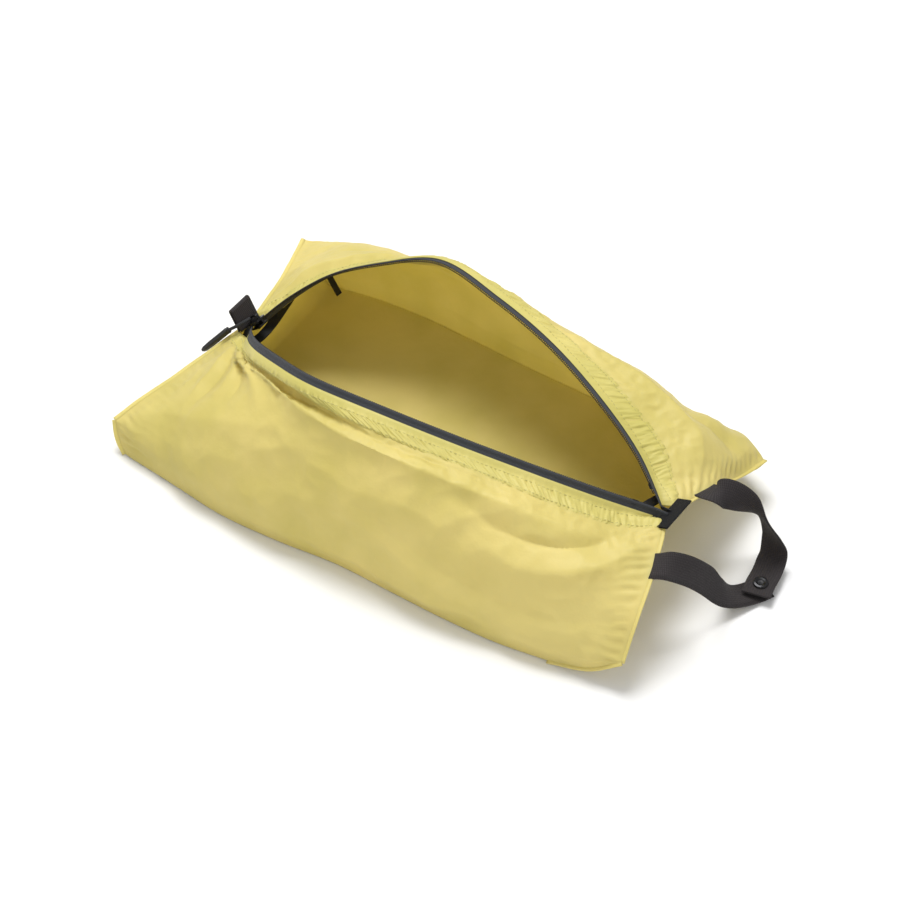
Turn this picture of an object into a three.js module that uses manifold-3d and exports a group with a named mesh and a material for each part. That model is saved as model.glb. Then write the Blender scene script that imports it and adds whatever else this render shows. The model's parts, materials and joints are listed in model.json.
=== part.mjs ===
// A zip-top shoe bag of thin coated nylon, lying open on a surface: three fabric panels, bound end
// seams with boxed corners, a coil zip along the top, a grab tab, a blank label and a webbing handle
// of two straps that a press stud joins.
// Millimetres, +Z up. The origin is on the floor under the middle of the bag, and +X runs along the
// zip from the tab end to the handle end.
import * as THREE from "three";
import Module from "manifold-3d";
import { mergeVertices } from "three/addons/utils/BufferGeometryUtils.js";

const wasm = await Module();
wasm.setup();

// ---- Driving dimensions ----
const FABRIC = 0.8; // thickness of a panel's solid
const SEAM_SETBACK = 0.018; // share of a panel's run left free at a sewn edge
const ZIP_START = new THREE.Vector3(-160, 0, 50);
const ZIP_END = new THREE.Vector3(168, 0, 62);
const FRONT_OPEN = 50; // degrees each lip lies away from the closed zip
const BACK_OPEN = 54;
const FRONT_LEAN = 24; // degrees each tape rolls over its lip at mid length
const BACK_LEAN = 38;
const TAPE_INNER = 2.9;
const TAPE_OUTER = 11;
const TAPE_THICK = 0.9;
const PANEL_GAP = 0.6; // between a tape and its panel
const COIL_RADIUS = 1.05;
const COIL_OFFSET = 1.2;
const LIP_FROM = 0.075; // the part of the arch that the open tapes cover
const LIP_TO = 0.945;
const TEETH_SETBACK = 0.004; // share of the arch between a tape end and its teeth or stop
const WEBBING_WIDTH = 20;
const WEBBING_THICK = 1.3;
const STUD_CENTRE = new THREE.Vector3(233.5, 24.5, 0);
const SLIDER_REST = new THREE.Vector3(-156, 0, 53.5);
const SLIDER_PITCH = 46;
const BINDING_WIDTH = 7;
const BINDING_THICK = 0.8;
const LEFT_BINDING_INSET = 11.5;
const RIGHT_BINDING_INSET = 18;
const BINDING_DROP = 4.5;
const BINDING_FROM = 0.16; // the part of an end seam that its binding covers
const BINDING_TO = 0.84;
const BINDING_NARROWING = 0.94;
const CORNER_BINDING_WIDTH = 5;
const CORNER_BINDING_RISE = 3;
const CORNER_BINDING_INSET = 0.09; // share of the way from the corner to the middle of the bag

// Height of the closed zip over the straight line between its ends: distance along, height.
const ARCH = [
  [0, 0],
  [15, 26],
  [36, 51],
  [64, 70],
  [104, 88],
  [157, 80],
  [208, 66],
  [256, 46],
  [297, 24],
  [328, 0],
];

// ---- Materials ----
function finish(colour, roughness, metalness = 0) {
  return new THREE.MeshStandardMaterial({
    color: colour,
    roughness,
    metalness,
    side: THREE.DoubleSide,
  });
}
const nylon = finish(0xdccf7e, 0.55);
const binding = finish(0x262627, 0.8);
const tapeCloth = finish(0x41454b, 0.8);
const coilNylon = finish(0x17181a, 0.35);
const webbing = finish(0x454041, 0.85);
const blackMetal = finish(0x1b1b1d, 0.35, 0.6);
const blackPlastic = finish(0x161617, 0.45);
const cordWeave = finish(0x1a1a1c, 0.8);
const labelCloth = finish(0x121213, 0.7);

const bag = new THREE.Group();

function addMesh(name, geometry, material, parent = bag) {
  const mesh = new THREE.Mesh(geometry, material);
  mesh.name = name;
  parent.add(mesh);
  return mesh;
}

function vec(point) {
  return new THREE.Vector3(point[0], point[1], point[2]);
}

function smoothCurve(points) {
  return new THREE.CatmullRomCurve3(points.map(vec));
}

function radians(degrees) {
  return (degrees * Math.PI) / 180;
}

// ---- Solids from grids ----
// A closed solid between two grids of points, rows x columns, the first on the outer side.
function solidBetween(outer, inner) {
  const rows = outer.length;
  const columns = outer[0].length;
  const positions = [];
  const indices = [];
  for (const grid of [outer, inner])
    for (const row of grid) for (const p of row) positions.push(p.x, p.y, p.z);
  const at = (layer, r, c) => (layer * rows + r) * columns + c;
  const quad = (a, b, c, d) => indices.push(a, b, c, a, c, d);
  for (let r = 0; r < rows - 1; r++)
    for (let c = 0; c < columns - 1; c++) {
      quad(at(0, r, c), at(0, r + 1, c), at(0, r + 1, c + 1), at(0, r, c + 1));
      quad(at(1, r, c), at(1, r, c + 1), at(1, r + 1, c + 1), at(1, r + 1, c));
    }
  for (let c = 0; c < columns - 1; c++) {
    const last = rows - 1;
    quad(at(0, 0, c), at(0, 0, c + 1), at(1, 0, c + 1), at(1, 0, c));
    quad(at(0, last, c + 1), at(0, last, c), at(1, last, c), at(1, last, c + 1));
  }
  for (let r = 0; r < rows - 1; r++) {
    const last = columns - 1;
    quad(at(0, r + 1, 0), at(0, r, 0), at(1, r, 0), at(1, r + 1, 0));
    quad(at(0, r, last), at(0, r + 1, last), at(1, r + 1, last), at(1, r, last));
  }
  const geometry = new THREE.BufferGeometry();
  geometry.setAttribute("position", new THREE.Float32BufferAttribute(positions, 3));
  geometry.setIndex(indices);
  return facingOut(geometry);
}

// The same geometry with its faces turned outwards.
function facingOut(geometry) {
  const p = geometry.attributes.position;
  const index = geometry.index;
  const [a, b, c] = [new THREE.Vector3(), new THREE.Vector3(), new THREE.Vector3()];
  let volume = 0;
  for (let i = 0; i < index.count; i += 3) {
    a.fromBufferAttribute(p, index.getX(i));
    b.fromBufferAttribute(p, index.getX(i + 1));
    c.fromBufferAttribute(p, index.getX(i + 2));
    volume += a.dot(b.cross(c));
  }
  if (volume < 0)
    for (let i = 0; i < index.count; i += 3) {
      const second = index.getX(i + 1);
      index.setX(i + 1, index.getX(i + 2));
      index.setX(i + 2, second);
    }
  geometry.computeVertexNormals();
  return geometry;
}

// A panel lofted across rails that all run the same way, thickened towards the point `inside`.
function panel(rails, alongCount, acrossCount, inside) {
  const outer = [];
  for (let i = 0; i <= alongCount; i++) {
    const u = SEAM_SETBACK + ((1 - 2 * SEAM_SETBACK) * i) / alongCount;
    const across = new THREE.CatmullRomCurve3(rails.map((rail) => rail(u)));
    const row = [];
    for (let j = 0; j <= acrossCount; j++) {
      const v = SEAM_SETBACK + ((1 - 2 * SEAM_SETBACK) * j) / acrossCount;
      const p = across.getPoint(v);
      row.push(p.setZ(Math.max(p.z, 0)));
    }
    outer.push(row);
  }
  const inner = outer.map((row, i) =>
    row.map((p, j) => {
      const before = outer[Math.max(i - 1, 0)][j];
      const after = outer[Math.min(i + 1, alongCount)][j];
      const left = row[Math.max(j - 1, 0)];
      const right = row[Math.min(j + 1, acrossCount)];
      const normal = after.clone().sub(before).cross(right.clone().sub(left)).normalize();
      if (normal.dot(inside.clone().sub(p)) < 0) normal.negate();
      return p.clone().addScaledVector(normal, FABRIC);
    }),
  );
  return solidBetween(outer, inner);
}

// A flat band swept along stations of a centre point and the direction of its width.
function band(stations, width, thickness, steps) {
  const centre = smoothCurve(stations.map((s) => s.at));
  const widthPath = smoothCurve(stations.map((s) => s.wide));
  const outer = [];
  const inner = [];
  for (let i = 0; i <= steps; i++) {
    const t = i / steps;
    const p = centre.getPoint(t);
    const along = centre.getTangent(t);
    const wide = widthPath.getPoint(t);
    wide.addScaledVector(along, -wide.dot(along)).normalize();
    const up = along.clone().cross(wide).normalize();
    const edge = (side, level) =>
      p
        .clone()
        .addScaledVector(wide, (side * width) / 2)
        .addScaledVector(up, (level * thickness) / 2);
    outer.push([edge(-1, 1), edge(1, 1)]);
    inner.push([edge(-1, -1), edge(1, -1)]);
  }
  return solidBetween(outer, inner);
}

// A round rod of `sides` sides along a curve, closed at both ends.
function rod(curve, radius, sides, steps) {
  const section = new THREE.Shape();
  for (let k = 0; k < sides; k++) {
    const angle = (2 * Math.PI * k) / sides;
    const [x, y] = [radius * Math.cos(angle), radius * Math.sin(angle)];
    if (k === 0) section.moveTo(x, y);
    else section.lineTo(x, y);
  }
  section.closePath();
  return new THREE.ExtrudeGeometry(section, {
    steps,
    extrudePath: curve,
    bevelEnabled: false,
  });
}

function asSolid(geometry) {
  const plain = geometry.clone();
  plain.deleteAttribute("normal");
  plain.deleteAttribute("uv");
  const merged = mergeVertices(plain, 1e-4);
  return new wasm.Manifold(
    new wasm.Mesh({
      numProp: 3,
      vertProperties: new Float32Array(merged.attributes.position.array),
      triVerts: new Uint32Array(merged.index.array),
    }),
  );
}

function asGeometry(solid) {
  const mesh = solid.getMesh();
  const geometry = new THREE.BufferGeometry();
  geometry.setAttribute("position", new THREE.BufferAttribute(mesh.vertProperties, 3));
  geometry.setIndex(new THREE.BufferAttribute(mesh.triVerts, 1));
  geometry.computeVertexNormals();
  return geometry;
}

function placedBox(size, centre) {
  const box = new THREE.BoxGeometry(size[0], size[1], size[2]);
  box.translate(centre[0], centre[1], centre[2]);
  return box;
}

// ---- The zip's arch ----
const zipLine = ZIP_END.clone().sub(ZIP_START).normalize();
const zipRise = new THREE.Vector3(-zipLine.z, 0, zipLine.x);
const zipAcross = new THREE.Vector3(0, 1, 0);
const arch = smoothCurve(ARCH.map(([along, height]) => [along, height, 0]));

// A point of one lip as it lies open. side is -1 at the front and 1 at the back; out is the distance
// from the zip's middle across the tape, and lift the distance off the tape.
function lipPoint(side, u, out, lift = 0) {
  const { x: along, y: height } = arch.getPoint(u);
  const open = radians(side < 0 ? FRONT_OPEN : BACK_OPEN);
  const fullLean = radians(side < 0 ? FRONT_LEAN : BACK_LEAN);
  const lean = fullLean * Math.sqrt(Math.max(Math.sin(Math.PI * u), 0));
  const acrossShift = out * Math.cos(lean) - lift * Math.sin(lean);
  const riseShift = height + out * Math.sin(lean) + lift * Math.cos(lean);
  const across = acrossShift * Math.cos(open) + riseShift * Math.sin(open);
  const rise = riseShift * Math.cos(open) - acrossShift * Math.sin(open);
  return ZIP_START.clone()
    .addScaledVector(zipLine, along)
    .addScaledVector(zipRise, rise)
    .addScaledVector(zipAcross, side * across);
}

// ---- End seams, from the front corner over the zip's end to the back corner ----
const LEFT_SEAM = [
  [-200, -106, 22],
  [-192, -84, 29],
  [-184, -56, 33],
  [-176, -28, 38],
  [-165, 0, 47],
  [-170, 30, 45],
  [-179, 62, 40],
  [-189, 88, 34],
  [-196, 107, 31],
];
const RIGHT_SEAM = [
  [202, -96, 21],
  [199, -75, 43],
  [193, -50, 54],
  [183, -22, 59],
  [174, 0, 58],
  [179, 24, 55],
  [183, 46, 51],
  [184, 78, 34],
  [186, 107, 26],
];
const leftSeam = smoothCurve(LEFT_SEAM);
const rightSeam = smoothCurve(RIGHT_SEAM);
const LEFT_FRONT_FOOT = [-188, -112, 0.9];
const LEFT_BACK_FOOT = [-172, 104, 0.9];
const RIGHT_FRONT_FOOT = [152, -106, 0.9];
const RIGHT_BACK_FOOT = [150, 106, 0.9];

// A rail through points chosen by hand, starting and ending on the end seams at these shares.
function seamToSeam(leftShare, points, rightShare) {
  const curve = new THREE.CatmullRomCurve3([
    leftSeam.getPoint(leftShare),
    ...points.map(vec),
    rightSeam.getPoint(rightShare),
  ]);
  return (u) => curve.getPoint(u);
}

function openRail(points) {
  const curve = smoothCurve(points);
  return (u) => curve.getPoint(u);
}

const mouthEdge = (side) => (u) => lipPoint(side, u, TAPE_OUTER + PANEL_GAP);

const frontRails = [
  mouthEdge(-1),
  seamToSeam(
    0.37,
    [
      [-140, -50, 60],
      [-103, -66, 80],
      [-60, -81, 92],
      [-10, -87, 95],
      [35, -85, 93],
      [80, -76, 86],
      [122, -66, 76],
      [155, -56, 67],
    ],
    0.36,
  ),
  seamToSeam(
    0.2,
    [
      [-150, -88, 44],
      [-105, -101, 55],
      [-60, -106, 62],
      [-10, -107, 63],
      [40, -106, 62],
      [85, -101, 58],
      [125, -94, 53],
      [160, -84, 50],
    ],
    0.2,
  ),
  seamToSeam(
    0,
    [
      [-150, -114, 22],
      [-105, -121, 25],
      [-60, -121, 27],
      [-10, -118, 28],
      [40, -118, 27],
      [85, -117, 25],
      [125, -113, 23],
      [165, -105, 22],
    ],
    0,
  ),
  openRail([
    LEFT_FRONT_FOOT,
    [-140, -117, 0.9],
    [-100, -121, 0.9],
    [-55, -119, 0.9],
    [-10, -114, 0.9],
    [35, -114, 0.9],
    [75, -114, 0.9],
    [115, -112, 0.9],
    RIGHT_FRONT_FOOT,
  ]),
];

const backRails = [
  mouthEdge(1),
  seamToSeam(
    0.63,
    [
      [-150, 70, 64],
      [-105, 86, 78],
      [-60, 93, 84],
      [-10, 89, 85],
      [35, 86, 84],
      [80, 82, 81],
      [122, 74, 74],
      [155, 64, 66],
    ],
    0.64,
  ),
  seamToSeam(
    0.8,
    [
      [-150, 96, 54],
      [-105, 107, 60],
      [-60, 109, 62],
      [-10, 107, 64],
      [40, 105, 60],
      [85, 103, 57],
      [125, 99, 53],
      [160, 94, 50],
    ],
    0.82,
  ),
  seamToSeam(
    1,
    [
      [-150, 113, 30],
      [-105, 119, 30],
      [-60, 119, 29],
      [-10, 117, 27],
      [40, 117, 26],
      [85, 116, 26],
      [125, 114, 28],
      [162, 112, 31],
    ],
    1,
  ),
  openRail([
    LEFT_BACK_FOOT,
    [-140, 111, 0.9],
    [-100, 115, 0.9],
    [-55, 115, 0.9],
    [-10, 114, 0.9],
    [35, 114, 0.9],
    [75, 114, 0.9],
    [115, 112, 0.9],
    RIGHT_BACK_FOOT,
  ]),
];

// The base runs up each end to its seam. Each rail runs from the front to the back.
function baseRail(front, middle, back) {
  return openRail([front, ...middle, back]);
}
const baseRails = [
  (u) => leftSeam.getPoint(u),
  baseRail(
    [-195, -110, 11],
    [
      [-183, -60, 12],
      [-178, 0, 14],
      [-181, 60, 13],
    ],
    [-187, 107, 12],
  ),
  baseRail(
    LEFT_FRONT_FOOT,
    [
      [-166, -60, 0],
      [-164, 0, 0],
      [-166, 60, 0],
    ],
    LEFT_BACK_FOOT,
  ),
  baseRail(
    [-95, -119, 0.9],
    [
      [-95, -60, 0],
      [-95, 0, 0],
      [-95, 60, 0],
    ],
    [-95, 115, 0.9],
  ),
  baseRail(
    [-10, -114, 0.9],
    [
      [-10, -60, 0],
      [-10, 0, 0],
      [-10, 60, 0],
    ],
    [-10, 114, 0.9],
  ),
  baseRail(
    [75, -114, 0.9],
    [
      [75, -60, 0],
      [75, 0, 0],
      [75, 60, 0],
    ],
    [75, 114, 0.9],
  ),
  baseRail(
    RIGHT_FRONT_FOOT,
    [
      [146, -60, 0],
      [132, 0, 0],
      [130, 60, 0],
    ],
    RIGHT_BACK_FOOT,
  ),
  baseRail(
    [181, -102, 8],
    [
      [168, -60, 17],
      [152, 0, 22],
      [150, 60, 16],
    ],
    [175, 107, 10],
  ),
  (u) => rightSeam.getPoint(u),
];

const BAG_MIDDLE = new THREE.Vector3(0, 0, 45);
addMesh("front_panel", panel(frontRails, 28, 12, BAG_MIDDLE), nylon);
addMesh("back_panel", panel(backRails, 28, 12, BAG_MIDDLE), nylon);
addMesh("base_panel", panel(baseRails, 14, 24, BAG_MIDDLE), nylon);

// ---- Bindings over the raw edges inside the end seams and the boxed corners ----
function seamBinding(seam, inset) {
  const stations = [];
  const spans = 10;
  for (let i = 0; i <= spans; i++) {
    const p = seam.getPoint(BINDING_FROM + ((BINDING_TO - BINDING_FROM) * i) / spans);
    const at = [p.x + inset, p.y * BINDING_NARROWING, p.z - BINDING_DROP];
    stations.push({ at, wide: [1, 0, 0] });
  }
  return band(stations, BINDING_WIDTH, BINDING_THICK, 24);
}
addMesh("left_seam_binding", seamBinding(leftSeam, LEFT_BINDING_INSET), binding);
addMesh("right_seam_binding", seamBinding(rightSeam, -RIGHT_BINDING_INSET), binding);

// A short binding that leans along the inside of one boxed corner.
function cornerBinding(top, foot) {
  const stations = [0.1, 0.4, 0.7, 1].map((t) => {
    const p = vec(top).lerp(vec(foot), t);
    p.z += CORNER_BINDING_RISE;
    return { at: p.lerp(BAG_MIDDLE, CORNER_BINDING_INSET).toArray(), wide: [0, 1, 0] };
  });
  return band(stations, CORNER_BINDING_WIDTH, BINDING_THICK, 6);
}
addMesh("corner_binding_front_left", cornerBinding(LEFT_SEAM[0], LEFT_FRONT_FOOT), binding);
addMesh("corner_binding_back_left", cornerBinding(LEFT_SEAM.at(-1), LEFT_BACK_FOOT), binding);
addMesh("corner_binding_front_right", cornerBinding(RIGHT_SEAM[0], RIGHT_FRONT_FOOT), binding);
addMesh("corner_binding_back_right", cornerBinding(RIGHT_SEAM.at(-1), RIGHT_BACK_FOOT), binding);

// ---- Zip tapes, coils and stops ----
function zipTape(side) {
  const steps = 44;
  const outer = [];
  const inner = [];
  for (let i = 0; i <= steps; i++) {
    const u = LIP_FROM + ((LIP_TO - LIP_FROM) * i) / steps;
    const row = (lift) =>
      [TAPE_INNER, (TAPE_INNER + TAPE_OUTER) / 2, TAPE_OUTER].map((out) =>
        lipPoint(side, u, out, lift),
      );
    outer.push(row(TAPE_THICK / 2));
    inner.push(row(-TAPE_THICK / 2));
  }
  return solidBetween(outer, inner);
}

function zipCoil(side) {
  const points = [];
  const spans = 36;
  const toothed = LIP_TO - LIP_FROM - 2 * TEETH_SETBACK;
  for (let i = 0; i <= spans; i++) {
    const u = LIP_FROM + TEETH_SETBACK + (toothed * i) / spans;
    points.push(lipPoint(side, u, COIL_OFFSET));
  }
  return rod(new THREE.CatmullRomCurve3(points), COIL_RADIUS, 6, 44);
}

// A small clamp crimped over the last teeth of one lip.
const STOP_LENGTH = 0.009; // as a share of the arch
const STOP_INNER = 0.3;
const STOP_OUTER = 3.6;
const STOP_THICK = 2.4;
function topStop(side) {
  const from = LIP_TO + TEETH_SETBACK;
  const to = from + STOP_LENGTH;
  const face = (lift) =>
    [from, to].map((u) => [
      lipPoint(side, u, STOP_INNER, lift),
      lipPoint(side, u, STOP_OUTER, lift),
    ]);
  return solidBetween(face(STOP_THICK / 2), face(-STOP_THICK / 2));
}

for (const [side, name] of [
  [-1, "front"],
  [1, "back"],
]) {
  addMesh("zip_tape_" + name, zipTape(side), tapeCloth);
  addMesh("coil_" + name, zipCoil(side), coilNylon);
  addMesh("top_stop_" + name, topStop(side), blackMetal);
}

// ---- Slider, at the tab end when the bag is open ----
const slider = new THREE.Group();
slider.position.copy(SLIDER_REST);
slider.rotation.y = -radians(SLIDER_PITCH);
bag.add(slider);

// Two plates joined at the nose by a wedge, with a channel for a tape down each side.
const SLIDER_HALF_LENGTH = 6.5;
const SLIDER_HALF_WIDTH = 5;
const PLATE_THICK = 1.1;
const PLATE_GAP = 3;
const WEDGE_SIZE = [4.5, 1.6, 4];
const WEDGE_CENTRE = [4, 0, 0];
function sliderBody() {
  const outline = (nose, tail, half) => {
    const shape = new THREE.Shape();
    shape.moveTo(tail, -half * 0.62);
    shape.lineTo(nose * 0.4, -half);
    shape.quadraticCurveTo(nose, -half, nose, -half * 0.45);
    shape.lineTo(nose, half * 0.45);
    shape.quadraticCurveTo(nose, half, nose * 0.4, half);
    shape.lineTo(tail, half * 0.62);
    shape.closePath();
    return shape;
  };
  const plate = (bottom) => {
    const shape = outline(SLIDER_HALF_LENGTH, -SLIDER_HALF_LENGTH, SLIDER_HALF_WIDTH);
    const made = new THREE.ExtrudeGeometry(shape, {
      depth: PLATE_THICK,
      bevelEnabled: false,
      curveSegments: 5,
    });
    made.translate(0, 0, bottom);
    return asSolid(made);
  };
  const wedge = asSolid(placedBox(WEDGE_SIZE, WEDGE_CENTRE));
  const upper = plate(PLATE_GAP / 2);
  const lower = plate(-PLATE_GAP / 2 - PLATE_THICK);
  return asGeometry(upper.add(lower).add(wedge));
}
addMesh("slider_body", sliderBody(), blackMetal, slider);

// The arched bridge that the pull cord runs through, 0.3 above the upper plate.
const BRIDGE_WIDTH = 2.4;
const BRIDGE_FOOT = PLATE_GAP / 2 + PLATE_THICK + 0.3;
function sliderBridge() {
  const shape = new THREE.Shape();
  shape.moveTo(-4.6, 0);
  shape.lineTo(-4.6, 2.2);
  shape.quadraticCurveTo(-4.4, 3.6, -3, 3.6);
  shape.lineTo(3, 3.6);
  shape.quadraticCurveTo(4.4, 3.6, 4.6, 2.2);
  shape.lineTo(4.6, 0);
  shape.lineTo(3.4, 0);
  shape.lineTo(3.4, 1.6);
  shape.quadraticCurveTo(3.3, 2.4, 2.4, 2.4);
  shape.lineTo(-2.4, 2.4);
  shape.quadraticCurveTo(-3.3, 2.4, -3.4, 1.6);
  shape.lineTo(-3.4, 0);
  shape.closePath();
  const made = new THREE.ExtrudeGeometry(shape, {
    depth: BRIDGE_WIDTH,
    bevelEnabled: false,
    curveSegments: 4,
  });
  made.rotateX(Math.PI / 2);
  made.translate(0, BRIDGE_WIDTH / 2, BRIDGE_FOOT);
  return made;
}
addMesh("slider_bridge", sliderBridge(), blackMetal, slider);

// The bottom stop, below the slider where the two tapes begin.
const BOTTOM_STOP_SIZE = [2.2, 5, 1.8];
const BOTTOM_STOP_CENTRE = [-8.4, 0, 0];
addMesh("bottom_stop", placedBox(BOTTOM_STOP_SIZE, BOTTOM_STOP_CENTRE), blackMetal, slider);

// ---- Pull: a doubled cord through the bridge and a moulded grip ----
const PULL_CORD = [
  [-160.5, -2.8, 57.6],
  [-162.4, -8.6, 57],
  [-166.4, -12.7, 54],
  [-171.4, -14, 49.3],
];
const PULL_GRIP = [
  [-172.1, -14.2, 48.5],
  [-177, -17.6, 42.2],
  [-182.2, -21.4, 35.6],
  [-186.6, -24.8, 30],
];
const CORD_RADIUS = 1.1;
const GRIP_WIDTH = 5.6;
const GRIP_THICK = 3.6;
addMesh("pull_cord", rod(smoothCurve(PULL_CORD), CORD_RADIUS, 8, 8), cordWeave);

function pullGrip() {
  const rise = [0.45, 0.05, 0.9];
  return band(
    PULL_GRIP.map((at) => ({ at, wide: rise })),
    GRIP_WIDTH,
    GRIP_THICK,
    10,
  );
}
addMesh("pull_grip", pullGrip(), blackPlastic);

// ---- Tab and label: strips folded double and sewn into an end seam ----
// The fold reaches out along +X and is `width` wide along Y.
function foldedStrip(width, reach, thickness, gap) {
  const half = gap / 2 + thickness;
  const shape = new THREE.Shape();
  shape.moveTo(0, -half);
  shape.lineTo(reach - half, -half);
  shape.absarc(reach - half, 0, half, -Math.PI / 2, Math.PI / 2, false);
  shape.lineTo(0, half);
  shape.lineTo(0, gap / 2);
  shape.lineTo(reach - half, gap / 2);
  shape.absarc(reach - half, 0, gap / 2, Math.PI / 2, -Math.PI / 2, true);
  shape.lineTo(0, -gap / 2);
  shape.closePath();
  const made = new THREE.ExtrudeGeometry(shape, {
    depth: width,
    bevelEnabled: false,
    curveSegments: 8,
  });
  made.rotateX(Math.PI / 2);
  made.translate(0, width / 2, 0);
  return made;
}

const TAB_REACH = 13.6;
const TAB_GAP = 1.2;
const TAB_RISE = 62; // degrees the tab stands off the surface, leaning away from the zip
const tab = addMesh(
  "tab_loop",
  foldedStrip(WEBBING_WIDTH, TAB_REACH, WEBBING_THICK, TAB_GAP),
  webbing,
);
tab.position.set(-166, 0, 52);
tab.rotation.set(0, radians(180 + TAB_RISE), 0);

const LABEL_WIDTH = 30;
const LABEL_REACH = 6.8;
const LABEL_THICK = 0.45;
const LABEL_GAP = 0.5;
const LABEL_RISE = 22; // degrees the label leans up
const label = addMesh(
  "label",
  foldedStrip(LABEL_WIDTH, LABEL_REACH, LABEL_THICK, LABEL_GAP),
  labelCloth,
);
label.position.set(176.5, 0.5, 60.5);
label.rotation.set(0, -radians(LABEL_RISE), 0);

// ---- Handle: two straps from the right end seam to the press stud ----
const FRONT_STRAP = [
  { at: [193, -40.8, 57], wide: [0.32, -0.92, -0.21] },
  { at: [200, -36.5, 57], wide: [0.25, -0.88, -0.4] },
  { at: [207.5, -28, 50], wide: [0.15, -0.8, -0.6] },
  { at: [214.5, -16, 35], wide: [0.15, -0.8, -0.58] },
  { at: [220, -4, 16], wide: [0.45, -0.8, -0.36] },
  { at: [226, 9, 4.5], wide: [0.8, -0.6, 0] },
  { at: [232, 20.5, 1.9], wide: [0.84, -0.52, 0] },
  { at: [236, 28.3, 1.9], wide: [0.86, -0.5, 0] },
];
const BACK_STRAP = [
  { at: [187, 37, 55], wide: [0.12, 0.97, -0.15] },
  { at: [195.5, 43, 53], wide: [0.1, 0.75, 0.6] },
  { at: [206.5, 49.5, 45], wide: [0.2, 0.1, 1] },
  { at: [217, 52, 35], wide: [0.4, -0.55, 0.72] },
  { at: [223.5, 54, 21], wide: [0.75, -0.3, 0.5] },
  { at: [227, 52, 10], wide: [0.93, 0.15, 0.3] },
  { at: [229.5, 44, 6.6], wide: [0.94, 0.33, 0] },
  { at: [232, 34, 6.6], wide: [0.96, 0.28, 0] },
  { at: [233.5, 24.5, 6.6], wide: [0.97, 0.24, 0] },
  { at: [236, 14.5, 6.6], wide: [0.97, 0.24, 0] },
];
const STRAP_STEPS = 32;
addMesh("strap_front", band(FRONT_STRAP, WEBBING_WIDTH, WEBBING_THICK, STRAP_STEPS), webbing);
addMesh("strap_back", band(BACK_STRAP, WEBBING_WIDTH, WEBBING_THICK, STRAP_STEPS), webbing);

// ---- Press stud: a post and a stud on the front strap, a socket and a cap on the back strap ----
// Each profile lists radius and height off the floor, and is turned about the stud's upright axis.
function turned(profile) {
  const points = profile.map(([r, z]) => new THREE.Vector2(r, z));
  const made = new THREE.LatheGeometry(points, 24);
  made.rotateX(Math.PI / 2);
  made.translate(STUD_CENTRE.x, STUD_CENTRE.y, 0);
  return made;
}
const postProfile = [
  [0, 0],
  [4.2, 0],
  [4.6, 0.3],
  [4.6, 0.7],
  [4.2, 0.9],
  [0, 0.9],
];
const studProfile = [
  [0, 2.9],
  [4.1, 2.9],
  [4.1, 3.4],
  [1.7, 3.5],
  [1.5, 4.1],
  [1.8, 4.6],
  [1.2, 5],
  [0, 5],
];
const socketProfile = [
  [3.6, 3.8],
  [4.7, 3.8],
  [4.9, 4.2],
  [4.9, 5.6],
  [3.6, 5.6],
  [3.6, 3.8],
];
const capProfile = [
  [0, 7.6],
  [4.9, 7.6],
  [5.2, 7.9],
  [4.8, 8.8],
  [3.6, 9.1],
  [2.6, 8.7],
  [1.9, 8.3],
  [0, 8.2],
];
addMesh("snap_post", turned(postProfile), blackMetal);
addMesh("snap_stud", turned(studProfile), blackMetal);
addMesh("snap_socket", turned(socketProfile), blackMetal);
addMesh("snap_cap", turned(capProfile), blackMetal);

export default bag;
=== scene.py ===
# Looks of an open zip-top shoe bag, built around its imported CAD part.
# Shapes are worked out in millimetres in the part's frame, and become metres as each mesh is made.
import json
import math

import bmesh
import bpy
import numpy as np
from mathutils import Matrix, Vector, noise


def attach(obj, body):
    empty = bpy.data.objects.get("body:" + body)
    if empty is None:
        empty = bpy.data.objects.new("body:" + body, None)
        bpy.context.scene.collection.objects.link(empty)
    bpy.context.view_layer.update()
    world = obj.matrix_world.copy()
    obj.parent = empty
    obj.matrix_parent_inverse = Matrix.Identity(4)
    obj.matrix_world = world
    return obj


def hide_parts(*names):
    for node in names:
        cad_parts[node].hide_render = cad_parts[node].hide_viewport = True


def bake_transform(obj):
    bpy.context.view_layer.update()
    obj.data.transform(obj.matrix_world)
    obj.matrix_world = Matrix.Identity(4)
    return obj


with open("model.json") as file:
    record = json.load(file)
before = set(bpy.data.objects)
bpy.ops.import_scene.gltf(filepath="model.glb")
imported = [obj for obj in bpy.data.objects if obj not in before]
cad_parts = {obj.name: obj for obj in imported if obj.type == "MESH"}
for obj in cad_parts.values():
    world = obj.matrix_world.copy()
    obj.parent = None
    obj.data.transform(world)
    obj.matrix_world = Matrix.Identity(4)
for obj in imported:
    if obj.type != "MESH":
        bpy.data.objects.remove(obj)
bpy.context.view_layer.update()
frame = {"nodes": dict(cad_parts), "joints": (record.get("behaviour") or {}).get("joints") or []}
bpy.ops.object.select_all(action="DESELECT")

MM = 0.001
BAG_MIDDLE = np.array([0.0, 0.0, 45.0])


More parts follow.
